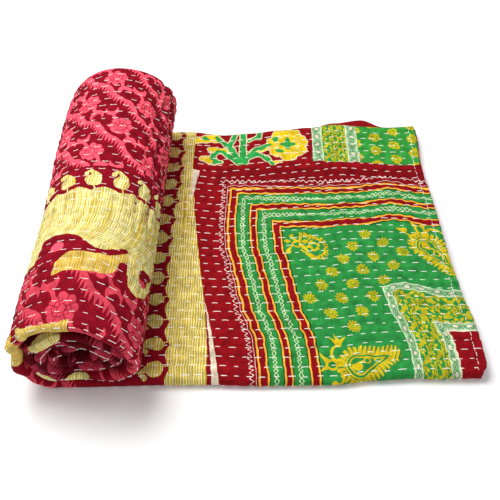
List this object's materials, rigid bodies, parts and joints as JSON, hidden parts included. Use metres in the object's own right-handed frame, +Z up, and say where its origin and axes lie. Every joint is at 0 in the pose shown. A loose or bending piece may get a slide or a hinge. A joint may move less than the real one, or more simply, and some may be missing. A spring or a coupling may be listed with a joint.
{
  "type": "patchwork kantha throw quilt, half rolled",
  "caption": "Patchwork kantha throw folded lengthways and half rolled up, its loose end lying flat beside the roll; bedding to dress a bed or sofa.",
  "frame": {"origin": "under the middle of the box round the whole quilt, on the surface it lies on", "axes": "+X from the roll to the hem of the loose end, +Y from the front folds to the back ones, +Z up"},
  "size_m": [0.458, 0.4034, 0.1251],
  "materials": {
    "quilt_roll": "matt printed cotton, maroon with coral and yellow, white running stitches",
    "quilt_flat_end": "matt printed cotton, green, crimson and yellow patches, white running stitches"
  },
  "bodies": {
    "root": {"quilt_roll": "quilt_roll", "quilt_flat_end": "quilt_flat_end"}
  },
  "joints": []
}
